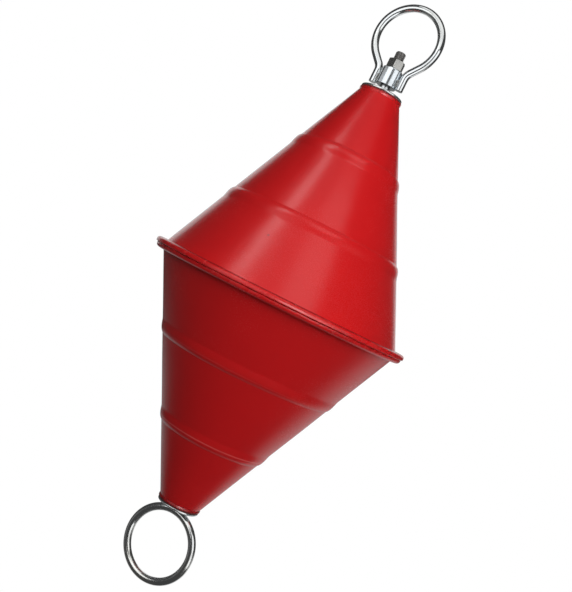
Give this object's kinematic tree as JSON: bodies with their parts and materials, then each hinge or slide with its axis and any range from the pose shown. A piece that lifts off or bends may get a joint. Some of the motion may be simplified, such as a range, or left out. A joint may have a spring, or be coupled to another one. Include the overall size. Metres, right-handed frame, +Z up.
{
  "type": "mooring buoy",
  "caption": "Red biconical mooring buoy of ribbed plastic shells joined at a flange, with a steel through rod, a lower mooring ring and a swivelling bow on top.",
  "frame": {"origin": "on the float's axis at the seam between its shells, taken as the working waterline", "axes": "+Z up along the rod towards the bow; the lower ring and the bow lie in the XZ plane at rest"},
  "size_m": [0.41, 0.41, 0.9662],
  "materials": {
    "red_plastic": "semi-gloss moulded",
    "bar_steel": "bright zinc plated",
    "hub_steel": "bright zinc plated, turned",
    "rod_steel": "zinc plated",
    "nut_steel": "dull zinc plated",
    "washer_steel": "zinc plated",
    "weld_steel": "zinc plated over weld ripples"
  },
  "bodies": {
    "float": {"upper_shell": "red_plastic", "lower_shell": "red_plastic", "top_washer": "washer_steel", "bottom_washer": "washer_steel"},
    "mooring_rod": {"rod": "rod_steel", "lower_ring": "bar_steel", "ring_weld": "weld_steel", "nut": "nut_steel"},
    "bow_swivel": {"swivel_hub": "hub_steel", "bow": "bar_steel", "bow_welds": "weld_steel"}
  },
  "joints": [
    {"name": "rod_turn", "type": "hinge", "parent": "float", "child": "mooring_rod", "pos_m": [0, 0, 0], "axis": [0, 0, 1], "continuous": true},
    {"name": "bow_turn", "type": "hinge", "parent": "mooring_rod", "child": "bow_swivel", "pos_m": [0, 0, 0.372], "axis": [0, 0, 1], "continuous": true}
  ]
}
